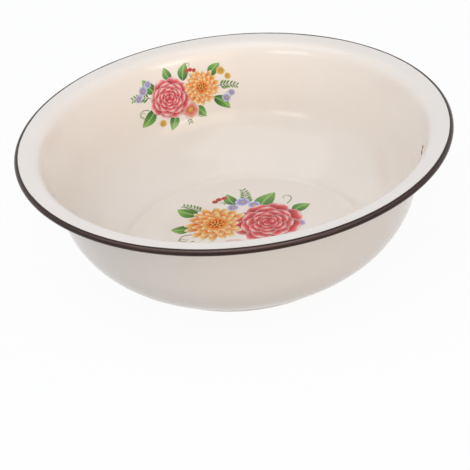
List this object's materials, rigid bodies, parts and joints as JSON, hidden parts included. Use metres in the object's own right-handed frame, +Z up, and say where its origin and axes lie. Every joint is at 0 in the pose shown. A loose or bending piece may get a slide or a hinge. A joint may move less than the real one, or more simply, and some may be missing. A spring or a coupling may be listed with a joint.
{
  "type": "enamel mixing bowl",
  "caption": "Round enamelled steel mixing bowl with a flared flange, rolled brown rim, low stepped foot, hanging hole and fired flower transfers inside; holds food or water for mixing.",
  "frame": {"origin": "on the axis, in the plane of the underside of the flat base, where the bowl stands", "axes": "+Z up along the bowl's axis, -Y towards the picture's viewer, +X to the viewer's right, just behind the hanging hole"},
  "size_m": [0.32, 0.32, 0.099],
  "materials": {
    "steel": "pressed low-carbon sheet, pickled, bare only at the hanging hole's wall",
    "ground_enamel": "dark blue-black ground coat, dipped",
    "ivory_enamel": "glossy ivory cover coat, sprayed and fired",
    "brown_enamel": "glossy dark brown edging, hand applied, slightly uneven edge",
    "transfer_print": "fired ceramic transfer, glossy"
  },
  "bodies": {
    "root": {"steel_pressing": "steel", "outer_ground_coat": "ground_enamel", "inner_ground_coat": "ground_enamel", "outer_enamel": "ivory_enamel", "inner_enamel": "ivory_enamel", "rim_enamel": "brown_enamel", "floor_transfer": "transfer_print", "wall_transfer": "transfer_print"}
  },
  "joints": []
}
